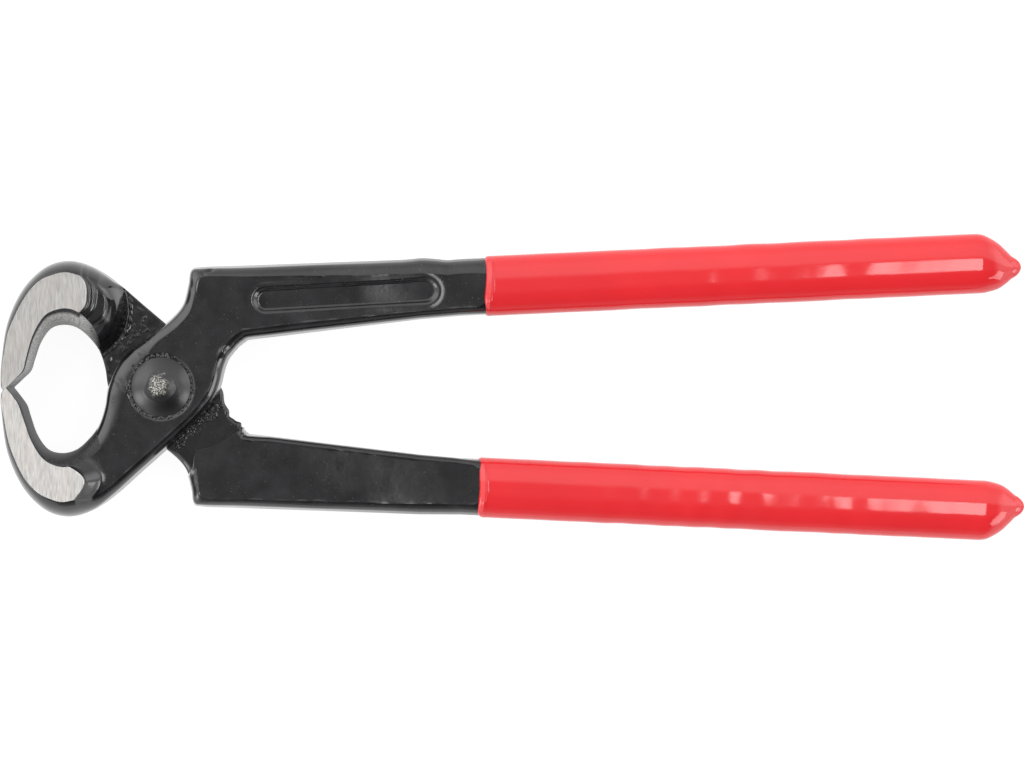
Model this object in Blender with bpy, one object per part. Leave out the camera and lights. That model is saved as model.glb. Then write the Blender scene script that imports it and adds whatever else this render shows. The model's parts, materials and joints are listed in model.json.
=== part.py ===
"""Carpenter's pincers: two crossed forged levers on one rivet, with dipped grips on the handles.

Metres, +Z up. The pincers lie flat on the ground sides of their jaws, closed, with the handles
along +X. The origin is under the middle of the whole tool. Both levers are one forging: the
lower lever is the upper one turned half round about the long axis. It turns on the rivet's
axis, which runs along Z. Every outline below is the upper lever's, measured from that axis,
with y = 0 the plane where the cutting edges meet.
"""

import math

import bmesh
import bpy
import numpy as np
from mathutils import Matrix, Vector

MM = 0.001

# Jaws
JAW_REACH = 38.7 * MM  # pivot to the outer faces
JAW_WIDTH = 24.0 * MM  # length of the cutting edges
JAW_DEPTH = 31.8 * MM  # closing plane to the deepest point of a jaw's back
JAW_BACK_X = 22.8 * MM  # pivot to that deepest point
JAW_WALL = 5.6 * MM  # steel behind the foot of the inner bevel
EDGE_LAND = 0.6 * MM  # flat left on a cutting edge
EDGE_CHAMFER = 1.4 * MM  # small chamfer on the outer side of an edge
EDGE_ROUND = 0.15 * MM  # rounding of an edge's ends
EDGE_GAP = 0.3 * MM  # between the closed edges
BEVEL_LENGTH = 5.7 * MM  # closing plane to the foot of the inner bevel
THROAT_DEPTH = 15.7 * MM  # closing plane to the floor of the throat
THROAT_X = 24.2 * MM  # pivot to the deepest point of the throat
JAW_DOME = 3.2 * MM  # how far a jaw's back swells past its ground sides
JAW_DOME_RISE = 9.0 * MM  # how far across the jaw that swell runs
THROAT_DOME = 2.0 * MM  # the same inside the throat
THROAT_DOME_RISE = 5.0 * MM

# Lap joint
PLATE_THICKNESS = 8.0 * MM
LAP_GAP = 0.3 * MM  # between the two plates
PLATE_HALF_WIDTH = 12.15 * MM  # pivot to a plate's edges, across the lever
PLATE_NEAR = 13.3 * MM  # pivot to the plate's edge in the throat
PLATE_FAR = 14.5 * MM  # pivot to the plate's edge between the handles
PLATE_ROUND = 1.2 * MM  # rounding of the plate's back edge
PLATE_CHAMFER = 2.4 * MM  # rounding of the plate's throat edge
LAP_RADIUS = 17.2 * MM  # milled recess for the other plate
LAP_START = math.radians(200.0)  # where the recess's circle begins, in the throat
LAP_TANGENT = math.radians(68.7)  # where it leaves its circle on the handle side
LAP_SIDE_X = 9.2 * MM  # pivot to the recess's straight side on the jaw
LAP_RAMP = 6.0 * MM  # how far that side leans back
OPENING = math.radians(28.0)  # largest turn of the lower lever
STOP_GAP = 0.5 * MM  # left at the shoulder when fully open

# Handles
SHOULDER_X = 6.3 * MM
SHOULDER_Y = 29.45 * MM
SHOULDER_ROUND = 2.2 * MM
ROOT_X = 24.0 * MM  # where the handle proper begins
ROOT_WIDTH = 18.2 * MM
ROOT_OFFSET = 20.9 * MM  # closing plane to the handle's centreline at its root
KNEE_X = 63.0 * MM
KNEE_OFFSET = 24.0 * MM
TAPER_X = 20.0 * MM  # where the handle starts to get thinner
THIN_X = 73.0 * MM  # where it has its thin section
THIN_WIDTH = 14.0 * MM
THIN_THICKNESS = 9.0 * MM
HANDLE_ROUND = 2.5 * MM
MARK_START_X = 21.4 * MM  # shallow recess in the handle's outer face
MARK_LENGTH = 47.3 * MM
MARK_WIDTH = 8.0 * MM
MARK_DEPTH = 0.5 * MM

# Tang under the grip, and the grip
TANG_SHOULDER = 7.0 * MM  # length of the step down to the tang, which ends at the grip's mouth
TANG_WIDTH = 12.3 * MM
TANG_THICKNESS = 8.8 * MM
TANG_ROUND = 3.4 * MM
TANG_END_X = 203.0 * MM
TANG_END_OFFSET = 30.5 * MM  # closing plane to the tang's centreline at its end
TANG_END_ROUND = 2.4 * MM
GRIP_GAP = 0.25 * MM
GRIP_WALL = 1.0 * MM
GRIP_LIP = 0.8 * MM  # rounding of the grip's mouth
GRIP_TIP_WALL = 4.0 * MM  # plastic past the tang's end
GRIP_END_ROUND = 8.0 * MM
NIPPLE_LENGTH = 4.0 * MM  # drip left by the dipping
NIPPLE_RADIUS = 2.2 * MM

# Rivet
RIVET_RADIUS = 4.5 * MM
RIVET_FIT = 0.2 * MM
HEAD_RADIUS = 7.35 * MM
HEAD_HEIGHT = 3.0 * MM
HEAD_RIM = 0.5 * MM
TAIL_RADIUS = 6.9 * MM
TAIL_HEIGHT = 2.2 * MM
SEAT_GAP = 0.3 * MM
SPOT_MARGIN = 0.95 * MM  # spot-faced ring round the heads
SPOT_DEPTH = 0.3 * MM

# Fineness of the surfaces
CORNER_STEPS = 5
STATION_STEPS = 2
TURNED_STEPS = 40
ARC_STEPS = 10

JAW_HALF = JAW_WIDTH / 2
PLATE_TOP = PLATE_THICKNESS + LAP_GAP / 2
WAIST = PLATE_HALF_WIDTH / math.sqrt(2)
GRIP_START_X = THIN_X + TANG_SHOULDER
GRIP_END_X = TANG_END_X + GRIP_GAP + GRIP_TIP_WALL
HANDLE_REACH = GRIP_END_X + NIPPLE_LENGTH
PIVOT = Vector(((JAW_REACH - HANDLE_REACH) / 2, 0, JAW_HALF))
HALF_TURN = Matrix.Rotation(math.pi, 4, "X")


def mix(a, b, share):
    return a + (b - a) * share


def between(a, b, share_x, share_y):
    """The point at these shares of the way from a to b."""
    return mix(a[0], b[0], share_x), mix(a[1], b[1], share_y)


def smooth_curve(points, t):
    """A point of the smooth curve through points; t counts them."""
    last = len(points) - 1
    i = min(int(t), last - 1)
    f = t - i
    four = (points[max(i - 1, 0)], points[i], points[i + 1], points[min(i + 2, last)])
    a, b, c, d = (np.array(point) for point in four)
    square = (2 * a - 5 * b + 4 * c - d) * f**2
    cube = (3 * b - a - 3 * c + d) * f**3
    return tuple(0.5 * (2 * b + (c - a) * f + square + cube))


def centreline(x):
    """The handle's middle, as a distance from the closing plane."""
    if x < KNEE_X:
        return mix(ROOT_OFFSET, KNEE_OFFSET, (x - ROOT_X) / (KNEE_X - ROOT_X))
    return mix(KNEE_OFFSET, TANG_END_OFFSET, (x - KNEE_X) / (TANG_END_X - KNEE_X))


def half_width(x):
    if x < THIN_X:
        return mix(ROOT_WIDTH, THIN_WIDTH, (x - ROOT_X) / (THIN_X - ROOT_X)) / 2
    share = min((x - THIN_X) / TANG_SHOULDER, 1)
    return mix(THIN_WIDTH, TANG_WIDTH, share) / 2


def half_thickness(x):
    if x < THIN_X:
        share = max((x - TAPER_X) / (THIN_X - TAPER_X), 0)
        return mix(PLATE_TOP, THIN_THICKNESS / 2, share)
    share = min((x - THIN_X) / TANG_SHOULDER, 1)
    return mix(THIN_THICKNESS, TANG_THICKNESS, share) / 2


def edge_point(x, side):
    """A point on the handle's outer edge (side 1) or inner edge (side -1)."""
    return x, centreline(x) + side * half_width(x)


def back_points():
    """The lever's back edge: round the jaw, under the plate and along inside the handles."""
    edge = (-JAW_REACH + EDGE_CHAMFER / 2, -EDGE_GAP / 2)
    chamfer = (-JAW_REACH, -EDGE_CHAMFER - EDGE_GAP / 2)
    heel = (-JAW_REACH, -BEVEL_LENGTH)
    belly = (-JAW_BACK_X, -JAW_DEPTH)
    plate = (WAIST, -WAIST)
    side = (PLATE_FAR, 0)
    root = edge_point(ROOT_X - HANDLE_ROUND, -1)
    turns = (0.4, 0.8, 1.2)
    back = [between(heel, belly, 1 - math.cos(turn), math.sin(turn)) for turn in turns]
    slope = ((0.185, 0.065), (0.36, 0.22), (0.583, 0.487), (0.78, 0.724), (0.895, 0.866))
    turn_up = ((0.46, 0.35), (0.8, 0.67))
    crotch = ((0.21, 0.48), (0.46, 0.727), (0.675, 0.87), (0.84, 0.95))
    return [
        edge,
        chamfer,
        heel,
        *back,
        belly,
        *(between(belly, plate, *share) for share in slope),
        plate,
        *(between(plate, side, *share) for share in turn_up),
        side,
        *(between(side, root, *share) for share in crotch),
        root,
    ]


def inner_points():
    """The lever's other edge, point for point against back_points: the bevel, the throat,
    the plate's far edge and the shoulder."""
    edge = (-JAW_REACH + EDGE_CHAMFER / 2 + EDGE_LAND, -EDGE_GAP / 2)
    foot = (-JAW_REACH + JAW_WALL, -BEVEL_LENGTH)
    floor = (-THROAT_X, -THROAT_DEPTH)
    near = (-PLATE_NEAR, 0)
    plate = (-WAIST, WAIST)
    shoulder = (SHOULDER_X + 1.5 * SHOULDER_ROUND, SHOULDER_Y)
    notch = (SHOULDER_X, SHOULDER_Y - 2 * SHOULDER_ROUND)
    wall = ((0.32, 0.42), (0.58, 0.79), (0.77, 0.95))
    throat = ((0.303, 0.051), (0.55, 0.19), (0.789, 0.408), (0.927, 0.694))
    climb = ((0.188, 0.139), (0.41, 0.283), (0.685, 0.47), (0.906, 0.705))
    return [
        edge,
        between(edge, foot, 0.26, 0.26),
        foot,
        *(between(foot, floor, *share) for share in wall),
        floor,
        *(between(floor, near, *share) for share in throat),
        near,
        between(near, plate, 0.404, 0.58),
        plate,
        *(between(plate, notch, *share) for share in climb),
        notch,
        between(notch, shoulder, 0.22, 0.83),
        shoulder,
    ]


def section(back, inner, halves, back_round, inner_round, grow=0.0):
    """A ring of points: a bar's cross section from its back edge to its inner edge.

    Each edge has its own half thickness and its own rounding, an inset and a depth. grow
    moves the whole ring outwards.
    """
    across = (Vector(inner) - Vector(back)).normalized()
    edges = (
        (Vector(back) - across * grow, across, halves[0] + grow, back_round),
        (Vector(inner) + across * grow, -across, halves[1] + grow, inner_round),
    )
    quarters = []
    for corner, inward, half, (inset, depth) in edges:
        quarter = []
        for i in range(CORNER_STEPS + 1):
            angle = math.pi / 2 * i / CORNER_STEPS
            point = corner + inward * (inset + grow) * (1 - math.cos(angle))
            quarter.append((*point, half - (depth + grow) * (1 - math.sin(angle))))
        quarters.append(quarter)
    upper = quarters[0] + quarters[1][::-1]
    return upper + [(x, y, -z) for x, y, z in reversed(upper)]


def head_sections():
    """The sections of the jaw, the plate and the shoulder, up to the handle's root."""
    back, inner = back_points(), inner_points()
    sharp = (EDGE_ROUND, EDGE_ROUND)
    # the point that each row belongs to, then the back edge's and the inner edge's rounding
    rounding = np.array(
        [
            (0, *sharp, *sharp),
            (2, JAW_DOME / 2, JAW_DOME_RISE / 2, THROAT_DOME / 2, THROAT_DOME_RISE / 3),
            (3.5, JAW_DOME, JAW_DOME_RISE, THROAT_DOME, THROAT_DOME_RISE),
            (6.5, JAW_DOME, JAW_DOME_RISE, THROAT_DOME, THROAT_DOME_RISE),
            (9, PLATE_ROUND, PLATE_ROUND, PLATE_CHAMFER, PLATE_CHAMFER),
            (15, PLATE_ROUND, PLATE_ROUND, PLATE_CHAMFER, PLATE_CHAMFER),
            (20, HANDLE_ROUND, HANDLE_ROUND, SHOULDER_ROUND, SHOULDER_ROUND),
        ]
    )
    rings = []
    for t in np.arange(0, len(back) - 1, 1 / STATION_STEPS):
        ends = smooth_curve(back, t), smooth_curve(inner, t)
        jaw = np.interp(t, (6.4, 8.2), (1, 0))
        halves = [mix(half_thickness(x), JAW_HALF, jaw) for x, _ in ends]
        cuts = [np.interp(t, rounding[:, 0], column) for column in rounding[:, 1:].T]
        rings.append(section(*ends, halves, cuts[:2], cuts[2:]))
    return rings


def handle_section(x, round_size, grow=0.0, lean=0.0):
    """A section of the handle or tang. Its outer edge lies lean nearer the shoulder."""
    ends = edge_point(x, -1), edge_point(x - lean, 1)
    halves = [half_thickness(x), half_thickness(x - lean)]
    return section(*ends, halves, [round_size] * 2, [round_size] * 2, grow)


def handle_sections():
    """The bare handle. Its first sections lean over to follow on from the shoulder's."""
    root, shoulder = back_points()[-1][0], inner_points()[-1][0]
    square_x = root + (root - shoulder)
    rings = []
    for share in (0, 0.35, 0.7, 1):
        lean = (root - shoulder) * (1 - share)
        rings.append(handle_section(mix(root, square_x, share), HANDLE_ROUND, lean=lean))
    for x in (mix(square_x, KNEE_X, 0.5), KNEE_X, THIN_X):
        rings.append(handle_section(x, HANDLE_ROUND))
    return rings


def tang_sections(grow=0.0):
    """The tang from the grip's mouth to its rounded end; grow gives the bore round it."""
    start = TANG_END_X - TANG_END_ROUND
    rings = [handle_section(x, TANG_ROUND, grow) for x in (GRIP_START_X, start)]
    for i in range(1, CORNER_STEPS + 1):
        angle = math.pi / 2 * i / CORNER_STEPS
        shrink = TANG_END_ROUND * (1 - math.cos(angle))
        x = start + (TANG_END_ROUND + grow) * math.sin(angle)
        ring = handle_section(start, TANG_ROUND, grow - shrink)
        rings.append([(x, y, z) for _, y, z in ring])
    return rings


def finished(name, bm):
    """A new object at the scene's origin from bm, its faces turned outwards."""
    bmesh.ops.recalc_face_normals(bm, faces=bm.faces)
    mesh = bpy.data.meshes.new(name)
    bm.to_mesh(mesh)
    bm.free()
    obj = bpy.data.objects.new(name, mesh)
    bpy.context.scene.collection.objects.link(obj)
    return obj


def loft(name, rings):
    """A closed solid through rings of equal length, with flat ends."""
    bm = bmesh.new()
    loops = [[bm.verts.new(point) for point in ring] for ring in rings]
    for near, far in zip(loops, loops[1:], strict=False):
        for i, start in enumerate(near):
            bm.faces.new((near[i - 1], start, far[i], far[i - 1]))
    bm.faces.new(loops[0])
    bm.faces.new(loops[-1])
    return finished(name, bm)


def turned(name, profile):
    """A solid of revolution about Z, through profile points (radius, z)."""
    turns = [2 * math.pi * i / TURNED_STEPS for i in range(TURNED_STEPS)]
    rings = [[(r * math.cos(a), r * math.sin(a), z) for a in turns] for r, z in profile]
    return loft(name, rings)


def turn(point, angle):
    """The plan point, turned about the pivot."""
    x, y = point
    cosine, sine = math.cos(angle), math.sin(angle)
    return x * cosine - y * sine, x * sine + y * cosine


def arc(radius, first, last, steps=ARC_STEPS):
    """Plan points on a circle about the pivot."""
    return [turn((radius, 0), mix(first, last, i / steps)) for i in range(steps + 1)]


def lap_outline(lean):
    """The recess milled for the other lever's plate, seen from above.

    On the jaw it is a circle's arc and a straight side, both moved out by lean. On the
    handle it is a straight step, and a stop that the other jaw's back meets when fully open.
    """
    far = 2 * JAW_DEPTH
    side_angle = 2 * math.pi - math.acos(-LAP_SIDE_X / LAP_RADIUS)
    jaw_side = [*arc(LAP_RADIUS, LAP_START, side_angle), (-LAP_SIDE_X, -far)]
    step_end = (far, (LAP_RADIUS - far * math.cos(LAP_TANGENT)) / math.sin(LAP_TANGENT))
    other_back = [(x, -y) for x, y in back_points()]
    stop = [turn(smooth_curve(other_back, t), -OPENING) for t in (10, 9.5, 9, 8.5)]
    stop = [(x + STOP_GAP, y) for x, y in stop]
    corner_x = stop[0][0]
    corner_y = (LAP_RADIUS - corner_x * math.cos(LAP_TANGENT)) / math.sin(LAP_TANGENT)
    return [
        *((x - lean, y) for x, y in jaw_side),
        (far, -far),
        step_end,
        (corner_x, corner_y),
        *stop[1:],
        (-LAP_RADIUS - lean, far),
        (-LAP_RADIUS - lean, 0),
    ]


def lap_cutter():
    """Everything under the plate, down past the ground side of the jaw."""
    levels = ((LAP_GAP / 2, 0), (-JAW_WIDTH, LAP_RAMP * JAW_WIDTH / JAW_HALF))
    rings = [[(*point, z) for point in lap_outline(lean)] for z, lean in levels]
    return loft("lap_cutter", rings)


def mark_cutter():
    """A slot with round ends, whose floor follows the taper of the handle's outer face."""
    radius = MARK_WIDTH / 2
    reach = MARK_LENGTH / 2 - radius
    middle = MARK_START_X + MARK_LENGTH / 2
    outline = [(x + reach, y) for x, y in arc(radius, -math.pi / 2, math.pi / 2)]
    outline += [(-x, -y) for x, y in outline]
    rings = [[(x, y, z) for x, y in outline] for z in (0, JAW_WIDTH)]
    cutter = loft("mark_cutter", rings)
    fall = math.atan2(half_thickness(TAPER_X) - half_thickness(THIN_X), THIN_X - TAPER_X)
    climb = math.atan2(KNEE_OFFSET - ROOT_OFFSET, KNEE_X - ROOT_X)
    turns = Matrix.Rotation(fall, 4, "Y") @ Matrix.Rotation(climb / 2, 4, "Z")
    floor = Vector((middle, centreline(middle), half_thickness(middle) - MARK_DEPTH))
    cutter.matrix_world = Matrix.Translation(floor) @ turns
    return cutter


def round_cutter(name, radius, low, high):
    return turned(name, ((radius, low), (radius, high)))


def lever_mesh():
    """One forging, with its recess, its bore, its spot face and its marking slot."""
    blank = loft("lever", head_sections() + handle_sections() + tang_sections())
    spot_floor = PLATE_TOP - SPOT_DEPTH
    cutters = [
        lap_cutter(),
        round_cutter("bore_cutter", RIVET_RADIUS + RIVET_FIT, -JAW_WIDTH, JAW_WIDTH),
        round_cutter("spot_cutter", HEAD_RADIUS + SPOT_MARGIN, spot_floor, JAW_WIDTH),
        mark_cutter(),
    ]
    for cutter in cutters:
        cut = blank.modifiers.new(cutter.name, "BOOLEAN")
        cut.operation = "DIFFERENCE"
        cut.solver = "EXACT"
        cut.object = cutter
    graph = bpy.context.evaluated_depsgraph_get()
    mesh = bpy.data.meshes.new_from_object(blank.evaluated_get(graph))
    mesh.name = "lever"
    for helper in (blank, *cutters):
        bpy.data.objects.remove(helper)
    return mesh


def material(name, colour, roughness, metallic):
    made = bpy.data.materials.new(name)
    made.use_nodes = True
    shader = made.node_tree.nodes["Principled BSDF"]
    shader.inputs["Base Color"].default_value = (*colour, 1)
    shader.inputs["Roughness"].default_value = roughness
    shader.inputs["Metallic"].default_value = metallic
    return made


def paint_lever(mesh):
    """Black lacquer all over, and bare ground steel on the flat sides of the jaw."""
    mesh.materials.clear()
    mesh.materials.append(material("black_lacquer", (0.028, 0.028, 0.03), 0.35, 0.0))
    mesh.materials.append(material("ground_steel", (0.62, 0.6, 0.57), 0.35, 1.0))
    for face in mesh.polygons:
        face.material_index = int(abs(face.center.z) > JAW_HALF - 0.01 * MM)


def dome(radius, rim, height, steps=6):
    """Points up a rivet head's round top, from its rim nearly to its middle."""
    rise = height - rim
    angles = [math.pi / 2 * i / steps for i in range(steps)]
    return [(radius * math.cos(a), rim + rise * math.sin(a)) for a in angles]


def rivet():
    """The rivet as it is after peening: a domed head on top and a flatter one below."""
    seat = PLATE_TOP - SPOT_DEPTH + SEAT_GAP
    head = [(r, seat + z) for r, z in dome(HEAD_RADIUS, HEAD_RIM, HEAD_HEIGHT)]
    tail = [(r, -seat - z) for r, z in dome(TAIL_RADIUS, HEAD_RIM, TAIL_HEIGHT)]
    shank = [(TAIL_RADIUS, -seat), (RIVET_RADIUS, -seat), (RIVET_RADIUS, seat), (HEAD_RADIUS, seat)]
    return turned("pivot_rivet", [*tail[::-1], *shank, *head])


def grip(name):
    """A dipped sleeve with a bore for the tang, a rounded end and the drip on its end."""
    thick = GRIP_GAP + GRIP_WALL
    bore = tang_sections(GRIP_GAP)
    lip = handle_section(GRIP_START_X, TANG_ROUND, GRIP_GAP + GRIP_LIP / 2)
    body_start = handle_section(GRIP_START_X + GRIP_LIP, TANG_ROUND, thick)
    round_start = GRIP_END_X - GRIP_END_ROUND
    last = handle_section(round_start, TANG_ROUND, thick)
    middle = centreline(round_start)
    reach_y, reach_z = half_width(round_start) + thick, half_thickness(round_start) + thick
    end = []
    for i in range(1, CORNER_STEPS + 1):
        angle = math.pi / 2 * i / CORNER_STEPS
        shares = [max(math.cos(angle), NIPPLE_RADIUS / reach) for reach in (reach_y, reach_z)]
        end.append((round_start + GRIP_END_ROUND * math.sin(angle), *shares))
    for length, share in ((0.5, 0.85), (0.85, 0.6), (1, 0.25)):
        shares = [share * NIPPLE_RADIUS / reach for reach in (reach_y, reach_z)]
        end.append((GRIP_END_X + length * NIPPLE_LENGTH, *shares))
    tip = [[(x, mix(middle, y, a), z * b) for _, y, z in last] for x, a, b in end]
    return loft(name, [*bore[::-1], lip, body_start, last, *tip])


def place(obj, slot=None, flipped=False):
    """Puts a piece at the pivot, turned half round about X if it is the lower one."""
    obj.matrix_world = Matrix.Translation(PIVOT) @ (HALF_TURN if flipped else Matrix())
    if slot:
        obj.data.materials.append(slot)
    obj.data.shade_smooth()
    obj.data.set_sharp_from_angle(angle=math.radians(30))


def build():
    for obj in list(bpy.data.objects):
        bpy.data.objects.remove(obj)
    mesh = lever_mesh()
    paint_lever(mesh)
    red = material("red_vinyl", (0.86, 0.045, 0.05), 0.3, 0.0)
    for side, flipped in (("upper", False), ("lower", True)):
        lever = bpy.data.objects.new(side + "_lever", mesh)
        bpy.context.scene.collection.objects.link(lever)
        place(lever, flipped=flipped)
        place(grip(side + "_grip"), red, flipped)
    place(rivet(), material("rivet_lacquer", (0.03, 0.03, 0.032), 0.4, 0.0))


build()
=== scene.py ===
"""Carpenter's pincers with dipped grips: the fine surfaces, finishes, light and camera.

Two lever forgings in black lacquer, ground bare on the sides of the jaws, turn on one rivet.
Their handles are dipped in red vinyl. Outlines are worked out round the rivet's axis, in
metres, for the upper lever: x runs along the tool and y away from the plane where the edges
meet. The lower lever is the same forging, turned half round about x.
"""

import json
import math

import bpy
import numpy as np
from bpy.props import FloatProperty, IntProperty, PointerProperty, StringProperty
from mathutils import Matrix, Vector


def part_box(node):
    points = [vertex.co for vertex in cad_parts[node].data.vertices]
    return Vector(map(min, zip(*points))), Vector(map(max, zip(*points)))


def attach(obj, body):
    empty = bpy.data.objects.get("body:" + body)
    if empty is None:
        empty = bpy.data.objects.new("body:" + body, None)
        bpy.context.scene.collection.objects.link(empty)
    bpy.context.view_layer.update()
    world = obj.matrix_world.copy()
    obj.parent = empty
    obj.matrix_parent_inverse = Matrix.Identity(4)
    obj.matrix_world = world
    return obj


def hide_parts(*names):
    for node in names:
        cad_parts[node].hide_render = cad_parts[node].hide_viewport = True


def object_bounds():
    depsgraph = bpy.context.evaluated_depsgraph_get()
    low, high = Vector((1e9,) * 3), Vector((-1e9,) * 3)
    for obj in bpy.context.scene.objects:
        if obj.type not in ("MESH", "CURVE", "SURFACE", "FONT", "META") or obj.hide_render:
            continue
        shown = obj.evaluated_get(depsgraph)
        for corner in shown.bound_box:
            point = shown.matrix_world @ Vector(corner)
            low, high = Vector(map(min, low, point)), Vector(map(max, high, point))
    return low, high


bl_info = {
    "name": "Carpenter's pincers",
    "version": (1, 0, 0),
    "blender": (4, 5, 0),
    "location": "View3D > Sidebar > Pincers",
    "description": "Builds riveted carpenter's pincers with dipped grips, and a studio for them",
    "category": "Object",
}

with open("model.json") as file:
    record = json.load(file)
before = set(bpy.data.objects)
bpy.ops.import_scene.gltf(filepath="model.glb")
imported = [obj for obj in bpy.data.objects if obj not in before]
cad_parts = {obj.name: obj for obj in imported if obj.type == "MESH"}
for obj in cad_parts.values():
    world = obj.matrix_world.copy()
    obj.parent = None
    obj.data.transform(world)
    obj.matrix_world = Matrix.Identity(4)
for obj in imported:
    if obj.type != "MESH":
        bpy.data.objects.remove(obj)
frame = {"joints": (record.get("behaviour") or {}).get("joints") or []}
CAD_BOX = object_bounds()
PIVOT = np.array(frame["joints"][0]["pos_m"])
LEVER_LOW, LEVER_HIGH = (np.array(corner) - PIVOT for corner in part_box("upper_lever"))
GRIP_LOW, GRIP_HIGH = (np.array(corner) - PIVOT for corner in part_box("upper_grip"))

MM = 0.001
DEGREE = math.pi / 180
JAW_REACH = -LEVER_LOW[0]
JAW_HALF = LEVER_HIGH[2]
JAW_DEPTH = 31.8 * MM  # closing plane to the deepest point of a jaw's back
JAW_BACK_X = 22.8 * MM
JAW_WALL = 5.6 * MM  # steel behind the foot of the cutting bevel
EDGE_IN = 1.9 * MM  # the closed edges' inner ends, behind the jaws' front
EDGE_OUT = 0.55 * MM  # their outer ends
EDGE_CHAMFER = 1.25 * MM
EDGE_GAP = 0.04 * MM
DRAFT = math.tan(6 * DEGREE)  # slope of the forged walls, away from the middle plane
OUTER_DRAFT_ROOT = math.tan(8 * DEGREE)  # the same along the outside of the handles
OUTER_DRAFT_GRIP = math.tan(15 * DEGREE)
BEVEL_LENGTH = 5.7 * MM
THROAT_DEPTH = 15.7 * MM
THROAT_X = 24.2 * MM
PLATE_TOP = 8.15 * MM
LAP_FLOOR = 0.15 * MM  # underside of the joint's plate
WAIST = 12.15 * MM / math.sqrt(2)
PLATE_NEAR = 13.3 * MM
PLATE_FAR = 14.5 * MM
SHOULDER_X = 6.3 * MM
SHOULDER_Y = 29.45 * MM
SHOULDER_ROUND = 2.2 * MM
ROOT_X = 24.0 * MM
ROOT_WIDTH = 18.2 * MM
ROOT_OFFSET = 20.9 * MM
KNEE_X = 63.0 * MM
KNEE_OFFSET = 24.0 * MM
TAPER_X = 20.0 * MM
THIN_X = 73.0 * MM
THIN_WIDTH = 14.0 * MM
THIN_HALF = 4.5 * MM
FLAT_X = 70.0 * MM
TANG_X = GRIP_LOW[0]
TANG_STEP = TANG_X - 0.8 * MM, TANG_X + 3 * MM  # down to the tang, inside the grip
TANG_WIDTH = 12.3 * MM
TANG_HALF = 4.4 * MM
TANG_END_X = LEVER_HIGH[0]
TANG_END_OFFSET = 30.5 * MM
TANG_END_ROUND = 2.4 * MM


class PincersSizes(bpy.types.PropertyGroup):
    """Sizes of the fine surfaces."""

    slot_depth: FloatProperty(
        name="Slot depth", default=0.75 * MM, min=0.0, unit="LENGTH",
        description="Depth of the long slot forged into each handle",
    )
    seat_depth: FloatProperty(
        name="Seat depth", default=0.3 * MM, min=0.0, unit="LENGTH",
        description="Depth of the ring that the rivet's head has pressed into the plate",
    )
    waviness: FloatProperty(
        name="Forging waviness", default=0.05 * MM, min=0.0, unit="LENGTH",
        description="Height of the slow waves that the forging dies leave",
    )
    head_height: FloatProperty(
        name="Rivet height", default=3.0 * MM, min=0.001, unit="LENGTH",
        description="Height of the rivet's round head above its seat",
    )
    grip_wall: FloatProperty(
        name="Grip wall", default=1.25 * MM, min=0.0005, unit="LENGTH",
        description="Thickness of the dipped vinyl over the tang",
    )
    grip_dents: FloatProperty(
        name="Grip dents", default=0.06 * MM, min=0.0, unit="LENGTH",
        description="Height of the slow dents along the grips",
    )
    beads: IntProperty(
        name="Lacquer beads", default=190, min=0,
        description="Beads of lacquer caught round one rivet head",
    )


class PincersColours(bpy.types.PropertyGroup):
    """Colours of the finishes, as sRGB hex values."""

    lacquer: StringProperty(name="Lacquer", description="Black lacquer", default="#141416")
    steel: StringProperty(name="Steel", description="Ground bare steel", default="#EDEBE8")
    vinyl: StringProperty(name="Vinyl", description="Dipped vinyl", default="#E12C32")
    floor: StringProperty(name="Floor", description="White table", default="#F4F4F4")


def mix(a, b, share):
    """The value at this share of the way from a to b."""
    return a + (b - a) * share


def ease(low, high, x):
    """0 below low and 1 above high, with a smooth S between: 3 f squared less 2 f cubed."""
    f = np.clip((x - low) / (high - low), 0, 1)
    return f * f * (3 - 2 * f)


def ridge(x, place, width):
    """A hump of height 1 at place: e to the power of minus the square of the distance from
    it, counted in widths."""
    return np.exp(-(((x - place) / width) ** 2))


def hill(x, y, place, width):
    """The same round a point, whose place and width are in mm."""
    return ridge(np.hypot(x / MM - place[0], y / MM - place[1]), 0, width)


def smooth_curve(points, t):
    """The curve through points, which t counts from 0. Between two points each coordinate is
    a cubic, whose slope at a point is half the step from the one before to the one after."""
    points = np.asarray(points, float)
    last = len(points) - 1
    i = np.clip(np.floor(t).astype(int), 0, last - 1)
    f = (t - i)[..., None]
    a, b, c, d = (points[np.clip(i + step, 0, last)] for step in (-1, 0, 1, 2))
    square = (2 * a - 5 * b + 4 * c - d) * f**2
    return 0.5 * (2 * b + (c - a) * f + square + (3 * b - a - 3 * c + d) * f**3)


def through(knots, r):
    """A curve through knots (place, value, ...) that never swings past them: a cubic between
    knots, whose slope at a knot is the harmonic mean of the chords on its two sides."""
    knots = np.asarray(knots, float)
    at, values = knots[:, 0], knots[:, 1:]
    chords = np.diff(values, axis=0) / np.diff(at)[:, None]
    product = chords[1:] * chords[:-1]
    total = np.where(product > 0, chords[1:] + chords[:-1], 1)
    slopes = np.zeros_like(values)
    slopes[1:-1] = np.where(product > 0, 2 * product / total, 0)
    r = np.clip(r, at[0], at[-1])
    i = np.clip(np.searchsorted(at, r, side="right") - 1, 0, len(at) - 2)
    step = (at[i + 1] - at[i])[:, None]
    f = (r - at[i])[:, None] / step
    start = (1 + 2 * f) * (1 - f) ** 2 * values[i] + f * (1 - f) ** 2 * step * slopes[i]
    end = f * f * (3 - 2 * f) * values[i + 1] - f * f * (1 - f) * step * slopes[i + 1]
    return (start + end).T


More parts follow.
